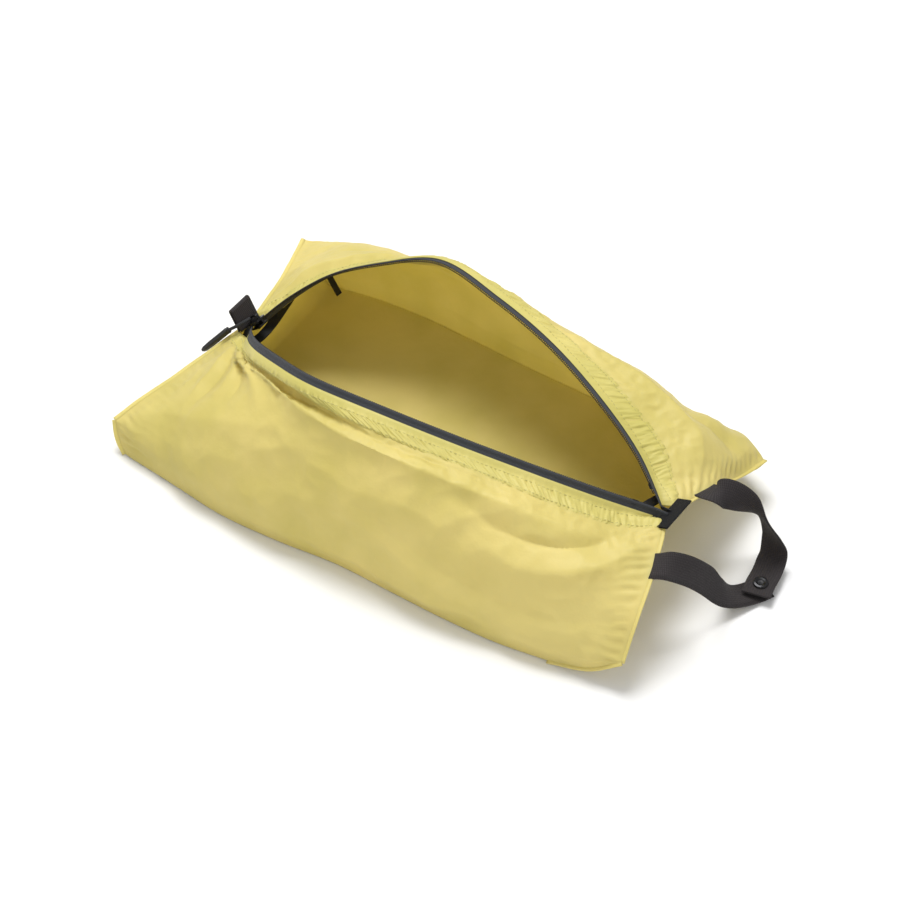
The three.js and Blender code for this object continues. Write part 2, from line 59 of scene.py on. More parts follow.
# ---- Curves and surfaces ----
def smooth_through(control, shares):
    """Points at shares 0 to 1 of a smooth curve through control, or of a surface when control is rows."""
    control = np.asarray(control, float)
    before_first = 2 * control[0] - control[1]
    after_last = 2 * control[-1] - control[-2]
    knots = np.concatenate([[before_first], control, [after_last]])
    spans = len(control) - 1
    place = np.clip(np.asarray(shares, float), 0, 1) * spans
    index = np.minimum(place.astype(int), spans - 1)
    w = (place - index).reshape((-1,) + (1,) * (control.ndim - 1))
    a, b, c, d = (knots[index + k] for k in range(4))

    def gap(p, q):
        return np.sqrt(np.maximum(np.linalg.norm(q - p, axis=-1, keepdims=True), 1e-6))

    ab, bc, cd = gap(a, b), gap(b, c), gap(c, d)
    leave = ((b - a) / ab - (c - a) / (ab + bc) + (c - b) / bc) * bc
    reach = ((c - b) / bc - (d - b) / (bc + cd) + (d - c) / cd) * bc
    rise = 3 * (c - b) - 2 * leave - reach
    ease = 2 * (b - c) + leave + reach
    return b + w * leave + w**2 * rise + w**3 * ease


def unit(v):
    return v / np.maximum(np.linalg.norm(v, axis=-1, keepdims=True), 1e-9)


def smooth_step(x, low, high):
    t = np.clip((x - low) / (high - low), 0, 1)
    return t * t * (3 - 2 * t)


def normals_of(grid):
    """Unit normals of a grid of points, pointing away from the middle of the bag."""
    down = np.gradient(grid, axis=0)
    along = np.gradient(grid, axis=1)
    normal = unit(np.cross(down, along))
    outward = np.sum(normal * (grid - BAG_MIDDLE), axis=-1).mean()
    return normal if outward > 0 else -normal


def grid_at(grid, row_share, column_share):
    """Points of a grid at shares of its height and width."""
    r = np.clip(row_share, 0, 1) * (grid.shape[0] - 1)
    c = np.clip(column_share, 0, 1) * (grid.shape[1] - 1)
    r0 = np.minimum(r.astype(int), grid.shape[0] - 2)
    c0 = np.minimum(c.astype(int), grid.shape[1] - 2)
    wr, wc = (r - r0)[..., None], (c - c0)[..., None]
    top = grid[r0, c0] * (1 - wc) + grid[r0, c0 + 1] * wc
    low = grid[r0 + 1, c0] * (1 - wc) + grid[r0 + 1, c0 + 1] * wc
    return top * (1 - wr) + low * wr


def nearest_on(line, points):
    """The point of a polyline nearest to each given point."""
    start, span = line[:-1], np.diff(line, axis=0)
    to_point = points[:, None] - start[None]
    length2 = np.maximum(np.sum(span**2, axis=-1), 1e-9)
    t = np.clip(np.sum(to_point * span, axis=-1) / length2, 0, 1)
    foot = start + t[..., None] * span
    best = np.linalg.norm(points[:, None] - foot, axis=-1).argmin(axis=1)
    return foot[np.arange(len(points)), best]


def pull_edge(rows, line, reach):
    """Moves the first row of a grid onto a line, and the rows after it less and less."""
    shift = nearest_on(line, rows[0]) - rows[0]
    fade = 1 - smooth_step(np.arange(len(rows), dtype=float), 0, reach)
    rows += fade[:, None, None] * shift[None]


def arc_lengths(path):
    steps = np.linalg.norm(np.diff(path, axis=0), axis=-1)
    return np.concatenate([[0], np.cumsum(steps)])


def ripple(points, size, seed):
    """A smooth random value, about -1 to 1, at each point. size is the width of a bump."""
    flat = points.reshape(-1, 3) / size + seed
    found = [noise.noise(Vector(p)) for p in flat]
    return np.array(found).reshape(points.shape[:-1])


# ---- Meshes ----
def make_piece(name, points, faces, uv=None):
    """A smooth-shaded mesh object from points in millimetres. uv is in metres, one pair a point."""
    mesh = bpy.data.meshes.new(name)
    mesh.from_pydata((points.reshape(-1, 3) * MM).tolist(), [], faces.tolist())
    if uv is not None:
        corner = np.zeros(len(mesh.loops), np.int32)
        mesh.loops.foreach_get("vertex_index", corner)
        layer = mesh.uv_layers.new(name="UVMap")
        layer.data.foreach_set("uv", uv.reshape(-1, 2)[corner].astype(np.float32).ravel())
    mesh.polygons.foreach_set("use_smooth", [True] * len(mesh.polygons))
    mesh.update()
    made = bpy.data.objects.new(name, mesh)
    bpy.context.scene.collection.objects.link(made)
    return made


def grid_faces(rows, columns, closed_columns=False):
    across = columns if closed_columns else columns - 1
    r, c = np.meshgrid(np.arange(rows - 1), np.arange(across), indexing="ij")
    following = (c + 1) % columns
    quads = [r * columns + c, r * columns + following]
    quads += [(r + 1) * columns + following, (r + 1) * columns + c]
    return np.stack(quads, axis=-1).reshape(-1, 4)


def make_active(piece):
    bpy.ops.object.select_all(action="DESELECT")
    piece.select_set(True)
    bpy.context.view_layer.objects.active = piece


def apply_modifiers(piece):
    make_active(piece)
    for modifier in list(piece.modifiers):
        bpy.ops.object.modifier_apply(modifier=modifier.name)
    piece.select_set(False)


def cloth_piece(name, grid, thickness, values=None):
    """A closed thin sheet from a grid, its outer side on the grid. values is kept as lip_share."""
    rows, columns = grid.shape[:2]
    faces = grid_faces(rows, columns)
    down = np.gradient(grid, axis=0)
    along = np.gradient(grid, axis=1)
    facing = np.sum(np.cross(along, down) * normals_of(grid), axis=-1).mean()
    if facing < 0:
        faces = faces[:, ::-1]
    widths = np.cumsum(np.linalg.norm(along, axis=-1), axis=1)
    drops = np.cumsum(np.linalg.norm(down, axis=-1), axis=0)
    centred = widths - widths[:, columns // 2 : columns // 2 + 1]
    piece = make_piece(name, grid, faces, np.stack([centred, drops], axis=-1) * MM)
    if values is not None:
        kept = piece.data.attributes.new("lip_share", "FLOAT", "POINT")
        kept.data.foreach_set("value", values.astype(np.float32).ravel())
    solid = piece.modifiers.new("thickness", "SOLIDIFY")
    solid.thickness = thickness * MM
    solid.offset = -1
    apply_modifiers(piece)
    return piece


def cap_ends(piece, sides):
    """Closes the open ends of a piece's tubes of so many sides, and turns every face out."""
    shell = bmesh.new()
    shell.from_mesh(piece.data)
    bmesh.ops.holes_fill(shell, edges=[e for e in shell.edges if e.is_boundary], sides=sides)
    bmesh.ops.recalc_face_normals(shell, faces=shell.faces)
    shell.to_mesh(piece.data)
    shell.free()
    piece.data.polygons.foreach_set("use_smooth", [True] * len(piece.data.polygons))


def swept_piece(name, sections, lengths):
    """A closed solid through a row of closed sections of the same number of points."""
    rows, columns = sections.shape[:2]
    around = arc_lengths(sections[rows // 2])
    uv = np.stack(np.broadcast_arrays(around[None, :], lengths[:, None]), axis=-1) * MM
    piece = make_piece(name, sections, grid_faces(rows, columns, closed_columns=True), uv)
    cap_ends(piece, columns)
    return piece


def rounded_strip(width, thickness):
    """The section of a webbing strip with rounded edges: across and up, in order round it."""
    half, edge = width / 2, thickness / 2
    turn = np.linspace(-math.pi / 2, math.pi / 2, 5)
    flats = np.linspace(-1, 1, 9)[1:-1] * (half - edge)
    right = np.stack([half - edge + edge * np.cos(turn), edge * np.sin(turn)], axis=-1)
    left = -right
    top = np.stack([flats[::-1], np.full(7, edge)], axis=-1)
    bottom = np.stack([flats, np.full(7, -edge)], axis=-1)
    return np.concatenate([right, top, left, bottom])


def strip_sections(path, wide, profile):
    """Sections of a strip along a path whose width runs along wide."""
    along = unit(np.gradient(path, axis=0))
    across = unit(wide - np.sum(wide * along, axis=-1, keepdims=True) * along)
    up = np.cross(along, across)
    out, lift = profile[:, 0], profile[:, 1]
    sideways = across[:, None] * out[None, :, None]
    return path[:, None] + sideways + up[:, None] * lift[None, :, None]


def tube_sections(path, side, radius, sides):
    """Round sections along a path. side is any direction across it at each point."""
    turn = np.linspace(0, 2 * math.pi, sides, endpoint=False)
    ring = np.stack([np.cos(turn), np.sin(turn)], axis=-1)
    along = unit(np.gradient(path, axis=0))
    across = unit(side - np.sum(side * along, axis=-1, keepdims=True) * along)
    up = np.cross(along, across)
    radii = np.broadcast_to(np.asarray(radius, float), (len(path),))[:, None, None]
    spokes = across[:, None] * ring[None, :, :1] + up[:, None] * ring[None, :, 1:]
    return path[:, None] + spokes * radii


THREAD_RADIUS = 0.24
THREAD_SIDES = 6
# Along one stitch: share of its length, height off the cloth and swell, both in thread radii.
STITCH = np.array([(0, -0.6, 0.35), (0.18, 0.35, 0.9), (0.5, 0.6, 1), (0.82, 0.35, 0.9), (1, -0.6, 0.35)])


def stitch_row(starts, ends, normals):
    """Points and faces of a row of short threads that dip into the cloth at both ends."""
    shares = STITCH[:, 0]
    height = STITCH[:, 1] * THREAD_RADIUS
    swell = STITCH[:, 2] * THREAD_RADIUS
    turn = np.linspace(0, 2 * math.pi, THREAD_SIDES, endpoint=False)
    along = unit(ends - starts)
    across = unit(np.cross(normals, along))
    spine = starts[:, None] + (ends - starts)[:, None] * shares[None, :, None]
    spine = spine + normals[:, None] * height[None, :, None]
    ring = across[:, None] * np.cos(turn)[None, :, None]
    ring = ring + normals[:, None] * np.sin(turn)[None, :, None]
    points = spine[:, :, None] + ring[:, None] * swell[None, :, None, None]
    count, stations, sides = points.shape[:3]
    one = grid_faces(stations, sides, closed_columns=True)
    faces = one[None] + (np.arange(count) * stations * sides)[:, None, None]
    return points.reshape(-1, 3), faces.reshape(-1, 4)


def stitching(name, rows):
    """One piece of all the threads in rows of (starts, ends, normals)."""
    all_points, all_faces, offset = [], [], 0
    for starts, ends, normals in rows:
        points, faces = stitch_row(starts, ends, normals)
        all_points.append(points)
        all_faces.append(faces + offset)
        offset += len(points)
    piece = make_piece(name, np.concatenate(all_points), np.concatenate(all_faces))
    cap_ends(piece, THREAD_SIDES)
    return piece


# ---- The zip's arch and the lips on either side of it ----
joints = {joint["name"]: joint for joint in frame["joints"]}
front_hinge = joints["front_lip_close"]
ZIP_START = np.array(front_hinge["pos_m"]) / MM
zip_line = -np.array(front_hinge["axis"])
zip_rise = np.array([-zip_line[2], 0, zip_line[0]])
OPEN_ANGLE = {
    -1: math.radians(front_hinge["range_deg"][1]),
    1: math.radians(joints["back_lip_close"]["range_deg"][1]),
}
TAPE_LEAN = {-1: math.radians(24), 1: math.radians(38)}  # how far each tape rolls over its lip
# Height of the closed zip over the line between its ends: distance along, height.
ARCH = [
    (0, 0),
    (15, 26),
    (36, 51),
    (64, 70),
    (104, 88),
    (157, 80),
    (208, 66),
    (256, 46),
    (297, 24),
    (328, 0),
]


def lip_points(side, u, out, lift=0.0):
    """Points of an open lip: side is -1 at the front and 1 at the back, u the share of the arch,
    out the distance from the zip's middle across the tape, lift the distance off the tape."""
    u, out, lift = np.broadcast_arrays(np.asarray(u, float), out, lift)
    arch = smooth_through(ARCH, u.ravel()).reshape(u.shape + (2,))
    along, height = arch[..., 0], arch[..., 1]
    lean = TAPE_LEAN[side] * np.sqrt(np.clip(np.sin(math.pi * u), 0, 1))
    across_shift = out * np.cos(lean) - lift * np.sin(lean)
    rise_shift = height + out * np.sin(lean) + lift * np.cos(lean)
    opened = OPEN_ANGLE[side]
    across = across_shift * math.cos(opened) + rise_shift * math.sin(opened)
    rise = rise_shift * math.cos(opened) - across_shift * math.sin(opened)
    points = ZIP_START + along[..., None] * zip_line + rise[..., None] * zip_rise
    points[..., 1] += side * across
    return points


# ---- Seams and rails of the three panels ----
LEFT_SEAM = [
    (-200, -106, 22),
    (-192, -84, 29),
    (-184, -56, 33),
    (-176, -28, 38),
    (-165, 0, 47),
    (-170, 30, 45),
    (-179, 62, 40),
    (-189, 88, 34),
    (-196, 107, 31),
]
RIGHT_SEAM = [
    (202, -96, 21),
    (199, -75, 43),
    (193, -50, 54),
    (183, -22, 59),
    (174, 0, 58),
    (179, 24, 55),
    (183, 46, 51),
    (184, 78, 34),
    (186, 107, 26),
]
LEFT_FRONT_FOOT = (-188, -112, 0.9)
LEFT_BACK_FOOT = (-172, 104, 0.9)
RIGHT_FRONT_FOOT = (152, -106, 0.9)
RIGHT_BACK_FOOT = (150, 106, 0.9)
FRONT_RIDGE = [
    (-140, -50, 60),
    (-103, -66, 80),
    (-60, -81, 92),
    (-10, -87, 95),
    (35, -85, 93),
    (80, -76, 86),
    (122, -66, 76),
    (155, -56, 67),
]
FRONT_UPPER = [
    (-150, -88, 44),
    (-105, -101, 55),
    (-60, -106, 62),
    (-10, -107, 63),
    (40, -106, 62),
    (85, -101, 58),
    (125, -94, 53),
    (160, -84, 50),
]
FRONT_LOWER = [
    (-150, -114, 22),
    (-105, -121, 25),
    (-60, -121, 27),
    (-10, -118, 28),
    (40, -118, 27),
    (85, -117, 25),
    (125, -113, 23),
    (165, -105, 22),
]
FRONT_FLOOR = [
    (-140, -117, 0.9),
    (-100, -121, 0.9),
    (-55, -119, 0.9),
    (-10, -114, 0.9),
    (35, -114, 0.9),
    (75, -114, 0.9),
    (115, -112, 0.9),
]
BACK_RIDGE = [
    (-150, 70, 64),
    (-105, 86, 78),
    (-60, 93, 84),
    (-10, 89, 85),
    (35, 86, 84),
    (80, 82, 81),
    (122, 74, 74),
    (155, 64, 66),
]
BACK_UPPER = [
    (-150, 96, 54),
    (-105, 107, 60),
    (-60, 109, 62),
    (-10, 107, 64),
    (40, 105, 60),
    (85, 103, 57),
    (125, 99, 53),
    (160, 94, 50),
]
BACK_LOWER = [
    (-150, 113, 30),
    (-105, 119, 30),
    (-60, 119, 29),
    (-10, 117, 27),
    (40, 117, 26),
    (85, 116, 26),
    (125, 114, 28),
    (162, 112, 31),
]
BACK_FLOOR = [
    (-140, 111, 0.9),
    (-100, 115, 0.9),
    (-55, 115, 0.9),
    (-10, 114, 0.9),
    (35, 114, 0.9),
    (75, 114, 0.9),
    (115, 112, 0.9),
]
HEM_START = 12.0  # distance from the zip's middle at which a panel leaves its tape
CLOTH = 0.4
FLOOR_GAP = 0.3  # least height of the base panel's underside over the floor


def seam_point(seam, share):
    return smooth_through(seam, [share])[0]


def lofted(rails, rows):
    return smooth_through(np.stack(rails), np.linspace(0, 1, rows))


def side_panel(side, columns, rows, shares_left, shares_right, lines, feet, floor):
    """The front or back panel as a grid, from its hem beside the zip down to the floor."""
    u = np.linspace(0, 1, columns)
    rails = [lip_points(side, u, HEM_START, 0.5)]
    for left, line, right in zip(shares_left, lines, shares_right):
        ends = seam_point(LEFT_SEAM, left), seam_point(RIGHT_SEAM, right)
        rails.append(smooth_through([ends[0], *line, ends[1]], u))
    rails.append(smooth_through([feet[0], *floor, feet[1]], u))
    return lofted(rails, rows)


COLUMNS, ROWS = 131, 49
front = side_panel(
    -1,
    COLUMNS,
    ROWS,
    (0.37, 0.2, 0),
    (0.36, 0.2, 0),
    (FRONT_RIDGE, FRONT_UPPER, FRONT_LOWER),
    (LEFT_FRONT_FOOT, RIGHT_FRONT_FOOT),
    FRONT_FLOOR,
)
back = side_panel(
    1,
    COLUMNS,
    ROWS,
    (0.63, 0.8, 1),
    (0.64, 0.82, 1),
    (BACK_RIDGE, BACK_UPPER, BACK_LOWER),
    (LEFT_BACK_FOOT, RIGHT_BACK_FOOT),
    BACK_FLOOR,
)

BASE_RAILS = [
    [(-195, -110, 11), (-183, -60, 12), (-178, 0, 14), (-181, 60, 13), (-187, 107, 12)],
    [LEFT_FRONT_FOOT, (-166, -60, 0), (-164, 0, 0), (-166, 60, 0), LEFT_BACK_FOOT],
    [(-95, -119, 0.9), (-95, -60, 0), (-95, 0, 0), (-95, 60, 0), (-95, 115, 0.9)],
    [(-10, -114, 0.9), (-10, -60, 0), (-10, 0, 0), (-10, 60, 0), (-10, 114, 0.9)],
    [(75, -114, 0.9), (75, -60, 0), (75, 0, 0), (75, 60, 0), (75, 114, 0.9)],
    [RIGHT_FRONT_FOOT, (146, -60, 0), (132, 0, 0), (130, 60, 0), RIGHT_BACK_FOOT],
    [(181, -102, 8), (168, -60, 17), (152, 0, 22), (150, 60, 16), (175, 107, 10)],
]
across_bag = np.linspace(0, 1, 101)
base = lofted(
    [smooth_through(LEFT_SEAM, across_bag)]
    + [smooth_through(rail, across_bag) for rail in BASE_RAILS]
    + [smooth_through(RIGHT_SEAM, across_bag)],
    161,
)
base[..., 2] = np.maximum(base[..., 2], FLOOR_GAP)

fine = np.linspace(0, 1, 400)
left_line = smooth_through(LEFT_SEAM, fine)
right_line = smooth_through(RIGHT_SEAM, fine)
CORNER_EDGES = {
    "front_left": [LEFT_SEAM[0], BASE_RAILS[0][0], LEFT_FRONT_FOOT],
    "back_left": [LEFT_SEAM[-1], BASE_RAILS[0][-1], LEFT_BACK_FOOT],
    "front_right": [RIGHT_SEAM[0], BASE_RAILS[-1][0], RIGHT_FRONT_FOOT],
    "back_right": [RIGHT_SEAM[-1], BASE_RAILS[-1][-1], RIGHT_BACK_FOOT],
}
corner_lines = {
    name: smooth_through(edge, np.linspace(0, 1, 60)) for name, edge in CORNER_EDGES.items()
}


def end_edge(corner, seam_half):
    """The line a side panel is sewn to: up a boxed corner, then along half an end seam."""
    return np.concatenate([corner_lines[corner][::-1], seam_half])


PULL_REACH = 9  # rows of a grid that follow its moved edge
pull_edge(front.swapaxes(0, 1), end_edge("front_left", left_line[:201]), PULL_REACH)
pull_edge(front.swapaxes(0, 1)[::-1], end_edge("front_right", right_line[:201]), PULL_REACH)
pull_edge(back.swapaxes(0, 1), end_edge("back_left", left_line[:198:-1]), PULL_REACH)
pull_edge(back.swapaxes(0, 1)[::-1], end_edge("back_right", right_line[:198:-1]), PULL_REACH)
for columns_first, grid, side_name in [
    (base.swapaxes(0, 1), front, "front"),
    (base.swapaxes(0, 1)[::-1], back, "back"),
]:
    sewn = [corner_lines[side_name + "_left"], grid[-1], corner_lines[side_name + "_right"][::-1]]
    pull_edge(columns_first, np.concatenate(sewn), PULL_REACH)


# ---- Creases and sag ----
CRISPNESS = 1.25  # a fold's profile: 2 is a soft swell, 1 is a sharp crease
PANEL_RUN = 380.0  # length of a side panel between its seams
PANEL_DROP = 125.0  # height of a side panel from hem to floor
FINE_ROWS, FINE_COLUMNS = 97, 301
CREASE_STATIONS = 200
CREASE_FADE = 0.7  # power of a fold's fade to its ends: 0 would keep its full height all along


def refined(grid, rows, columns):
    down = smooth_through(grid, np.linspace(0, 1, rows))
    return smooth_through(down.swapaxes(0, 1), np.linspace(0, 1, columns)).swapaxes(0, 1)


front = refined(front, FINE_ROWS, FINE_COLUMNS)
back = refined(back, FINE_ROWS, FINE_COLUMNS)


def add_crease(grid, line, height, width):
    """Raises a soft fold along a line of (share along, share down) points, fading at its ends."""
    rows, columns = grid.shape[:2]
    v, u = np.meshgrid(np.linspace(0, 1, rows), np.linspace(0, 1, columns), indexing="ij")
    scale = np.array([PANEL_RUN, PANEL_DROP])
    points = np.stack([u, v], axis=-1).reshape(-1, 2) * scale
    path = smooth_through(line, np.linspace(0, 1, CREASE_STATIONS)) * scale
    gaps = np.linalg.norm(points[:, None] - path[None], axis=-1)
    best = gaps.argmin(axis=1)
    share = best / (len(path) - 1)
    fade = np.sin(math.pi * np.clip(share, 0.02, 0.98)) ** CREASE_FADE
    lift = height * fade * np.exp(-((gaps.min(axis=1) / width) ** CRISPNESS))
    lift = lift.reshape(rows, columns)
    edge = smooth_step(u, 0, 0.03) * smooth_step(1 - u, 0, 0.03)
    edge = edge * smooth_step(v, 0, 0.06) * smooth_step(1 - v, 0, 0.1)
    grid += normals_of(grid) * (lift * edge)[..., None]


RIDGE_LINE = [
    (0.07, 0.09),
    (0.16, 0.15),
    (0.26, 0.2),
    (0.37, 0.25),
    (0.54, 0.245),
    (0.66, 0.25),
    (0.8, 0.23),
]
# Each fold: (share along, share down) points, height, width.
FRONT_CREASES = [
    (RIDGE_LINE, 5.6, 7),
    ([(0.14, 0.1), (0.3, 0.155), (0.5, 0.155), (0.74, 0.14)], -4.2, 9),
    ([(0.085, 0.06), (0.13, 0.25), (0.147, 0.41)], 3.4, 5),
    ([(0.1, 0.06), (0.18, 0.22), (0.25, 0.36)], 4.2, 5),
    ([(0.092, 0.09), (0.155, 0.26), (0.19, 0.42)], -3.6, 6),
    ([(0.05, 0.1), (0.075, 0.3), (0.09, 0.46)], 3.2, 5),
    ([(0.07, 0.12), (0.1, 0.3), (0.12, 0.5)], -2.4, 5),
    ([(0.0, 0.75), (0.06, 0.6), (0.2, 0.46), (0.36, 0.36)], 4.0, 12),
    ([(0.3, 0.4), (0.44, 0.46), (0.58, 0.43), (0.7, 0.52)], 2.4, 9),
    ([(0.32, 0.66), (0.46, 0.58), (0.6, 0.7), (0.72, 0.8)], 2.2, 9),
    ([(0.62, 0.3), (0.7, 0.36), (0.8, 0.34), (0.88, 0.25), (0.93, 0.14)], -4.8, 7),
    ([(0.64, 0.42), (0.76, 0.47), (0.88, 0.4), (0.97, 0.26)], 4.4, 9),
    ([(0.45, 0.5), (0.62, 0.62), (0.8, 0.66), (0.94, 0.6)], -3.8, 12),
    ([(0.26, 0.8), (0.5, 0.84), (0.74, 0.8)], 2.2, 9),
]
BACK_CREASES = [
    ([(0.02, 0.78), (0.08, 0.66), (0.16, 0.56), (0.26, 0.5)], 5.0, 14),
    ([(0.05, 0.12), (0.1, 0.16), (0.16, 0.15), (0.24, 0.22)], 3.4, 5),
    ([(0.1, 0.3), (0.22, 0.34), (0.36, 0.3)], -2.4, 8),
    ([(0.58, 0.12), (0.74, 0.26), (0.84, 0.27), (0.96, 0.28)], 4.2, 8),
    ([(0.8, 0.34), (0.88, 0.44), (0.96, 0.6)], -4.4, 8),
    ([(0.86, 0.72), (0.93, 0.8), (0.99, 0.9)], 3.0, 7),
    ([(0.3, 0.62), (0.5, 0.68), (0.72, 0.62)], 2.6, 10),
    ([(0.2, 0.84), (0.45, 0.86), (0.7, 0.82)], -2.0, 9),
]
# Height and width in millimetres of each kind of unevenness over the cloth.
BILLOW, BILLOW_WIDTH = 2.2, 48
SWELL, SWELL_WIDTH = 0.8, 19
CRUMPLE, CRUMPLE_WIDTH = 2.6, 34
FINE_CRUMPLE, FINE_CRUMPLE_WIDTH = 1.2, 15
GATHER, GATHER_WIDTH = 1.6, 8
CRUMPLE_LEVEL = 0.3  # the share of a crumple's height that stands above the sheet


def add_unevenness(grid, seed):
    """Billows, sharp-edged crumples and, under the hem, short gathers."""
    rows, columns = grid.shape[:2]
    v = np.linspace(0, 1, rows)[:, None]
    u = np.linspace(0, 1, columns)[None]
    inside = smooth_step(v, 0, 0.12) * smooth_step(1 - v, 0, 0.12)
    inside = inside * smooth_step(u, 0, 0.05) * smooth_step(1 - u, 0, 0.05)
    billow = BILLOW * ripple(grid, BILLOW_WIDTH, seed) + SWELL * ripple(grid, SWELL_WIDTH, seed + 5)
    crumple = CRUMPLE_LEVEL - np.abs(ripple(grid, CRUMPLE_WIDTH, seed + 11))
    fine_crumple = CRUMPLE_LEVEL - np.abs(ripple(grid, FINE_CRUMPLE_WIDTH, seed + 17))
    billow = billow + CRUMPLE * crumple + FINE_CRUMPLE * fine_crumple
    gathered = smooth_step(v, 0.08, 0.13) * (1 - smooth_step(v, 0.2, 0.3))
    gathers = GATHER * gathered * (CRUMPLE_LEVEL - np.abs(ripple(grid, GATHER_WIDTH, seed + 23)))
    grid += normals_of(grid) * (billow * inside + gathers * smooth_step(u, 0.1, 0.2))[..., None]


for grid, creases, seed in [(front, FRONT_CREASES, 3.1), (back, BACK_CREASES, 8.7)]:
    for line, height, width in creases:
        add_crease(grid, line, height, width)
    add_unevenness(grid, seed)


PUCKER_REACH = 9.0
LEFT_PLEAT = 6.5  # spacing of the pleats along each end seam
RIGHT_PLEAT = 7.5
PUCKER_HEIGHT = 2.2


def seam_puckers(grid):
    """Small pleats that run in from the sewn ends and fade within a few centimetres."""
    u = np.linspace(0, 1, grid.shape[1])[None]
    drop = arc_lengths(grid[:, 0])[:, None]
    far = arc_lengths(grid[:, -1])[:, None]
    from_left = u * PANEL_RUN
    from_right = (1 - u) * PANEL_RUN
    near_left = np.exp(-from_left / PUCKER_REACH) * smooth_step(from_left, 1, PUCKER_REACH)
    near_right = np.exp(-from_right / PUCKER_REACH) * smooth_step(from_right, 1, PUCKER_REACH)
    wobble = ripple(grid, 14, 2.3)
    pleats = np.sin(drop / LEFT_PLEAT * 2 * math.pi + 3 * wobble) * near_left
    pleats = pleats + np.sin(far / RIGHT_PLEAT * 2 * math.pi + 3 * wobble) * near_right
    grid += normals_of(grid) * (PUCKER_HEIGHT * pleats * (0.6 + 0.6 * wobble))[..., None]


seam_puckers(front)
seam_puckers(back)


for grid in (front, back):
    grid[..., 2] = np.maximum(grid[..., 2], CLOTH)


LIP_FOLLOWS = (0.17, 0.92)  # shares of the way down between which lip_share falls from 1 to 0


def lip_share(grid):
    """A share for each point of a side panel, 1 at the zip and 0 at seams and floor."""
    rows, columns = grid.shape[:2]
    v, u = np.meshgrid(np.linspace(0, 1, rows), np.linspace(0, 1, columns), indexing="ij")
    down = 1 - smooth_step(v, *LIP_FOLLOWS)
    margin = 0.05 + 0.3 * v
    ends = smooth_step(u, 0, 1e-3 + margin) * smooth_step(1 - u, 0, 1e-3 + margin)
    return down * ends


# ---- Hems: the doubled edge of each side panel, gathered by its stitching ----
HEM_COLUMNS, HEM_ROWS = 561, 17
HEM_WIDTH_SHARE = 0.1  # how far down the panel the hem reaches
HEM_ENDS = (0.006, 0.996)  # shares along the zip at which the hem starts and ends
HEM_LIFT, HEM_SINK = 0.75, 0.9  # height of the hem over the panel, and how much of it its edge loses
HEM_THICKNESS = 0.3
# The hem's folded edge on the tape: distance from the zip's middle, height off the tape.
HEM_ON_TAPE = [(7.2, 0.5), (6.5, 0.75), (6.8, 1.1), (8.2, 1.2), (10, 1.15)]
PLEAT_SPACING = 1.9
PLEAT_HEIGHT = 1.15
STITCH_ROWS = (0.34, 0.86)  # shares of the way down the hem
STITCH_PITCH = 3.1
STITCH_LENGTH = 2.3
STITCH_MARGIN = 6  # bare length at each end of a row


def hem_grid(side, panel):
    u = np.linspace(*HEM_ENDS, HEM_COLUMNS)
    rows = [lip_points(side, u, out, lift) for out, lift in HEM_ON_TAPE]
    normal = normals_of(panel)
    for share in np.linspace(0.004, HEM_WIDTH_SHARE, HEM_ROWS - len(HEM_ON_TAPE)):
        place = np.full_like(u, share)
        edge = smooth_step(share, 0.75 * HEM_WIDTH_SHARE, HEM_WIDTH_SHARE)
        lift = HEM_LIFT - HEM_SINK * edge
        rows.append(grid_at(panel, place, u) + unit(grid_at(normal, place, u)) * lift)
    grid = np.stack(rows)
    along = arc_lengths(grid[6])[None]
    v = np.linspace(0, 1, HEM_ROWS)[:, None]
    wobble = ripple(grid, 9, 4.4 + side)
    slow = ripple(grid, 30, 9.1 + side)
    slanted = 1.5 * v + 0.12 * along
    place = np.stack(np.broadcast_arrays(along / PLEAT_SPACING, slanted, 7.0 * side), axis=-1)
    pleats = ripple(place, 1, 0.5) + 0.5 * ripple(place * 1.9, 1, 3.5)
    window = smooth_step(v, 0.2, 0.42) * (1 - 0.75 * smooth_step(v, 0.9, 1))
    lift = window * (PLEAT_HEIGHT * pleats * (0.9 + 0.5 * slow) + 0.25 * wobble)
    grid += normals_of(grid) * lift[..., None]
    return grid


front_hem = hem_grid(-1, front)
back_hem = hem_grid(1, back)


def hem_stitches(grid):
    rows = []
    normal = normals_of(grid)
    for share in STITCH_ROWS:
        length = arc_lengths(grid[int(share * (HEM_ROWS - 1))])
        marks = np.arange(STITCH_MARGIN, length[-1] - STITCH_MARGIN, STITCH_PITCH)
        columns = np.linspace(0, 1, HEM_COLUMNS)
        begin = np.interp(marks, length, columns)
        end = np.interp(marks + STITCH_LENGTH, length, columns)
        row = np.full_like(begin, share)
        normals = unit(grid_at(normal, row, (begin + end) / 2))
        rows.append((grid_at(grid, row, begin), grid_at(grid, row, end), normals))
    return rows


# ---- Materials ----
def node(tree, kind, inputs=None, **settings):
    """A node with its settings, whose inputs are given as values or as sockets to link from."""
    made = tree.nodes.new(kind)
    for key, value in settings.items():
        setattr(made, key, value)
    for key, value in (inputs or {}).items():
        if isinstance(value, bpy.types.NodeSocket):
            tree.links.new(value, made.inputs[key])
        else:
            made.inputs[key].default_value = value
    return made


def blank_material(name):
    material = bpy.data.materials.new(name)
    material.use_nodes = True
    tree = material.node_tree
    shader = tree.nodes["Principled BSDF"]
    where = node(tree, "ShaderNodeTexCoord")
    return material, tree, shader, where


def noise_factor(tree, where, scale, detail=3.0, output="Object"):
    inputs = {"Vector": where.outputs[output], "Scale": scale, "Detail": detail}
    return node(tree, "ShaderNodeTexNoise", inputs).outputs["Fac"]


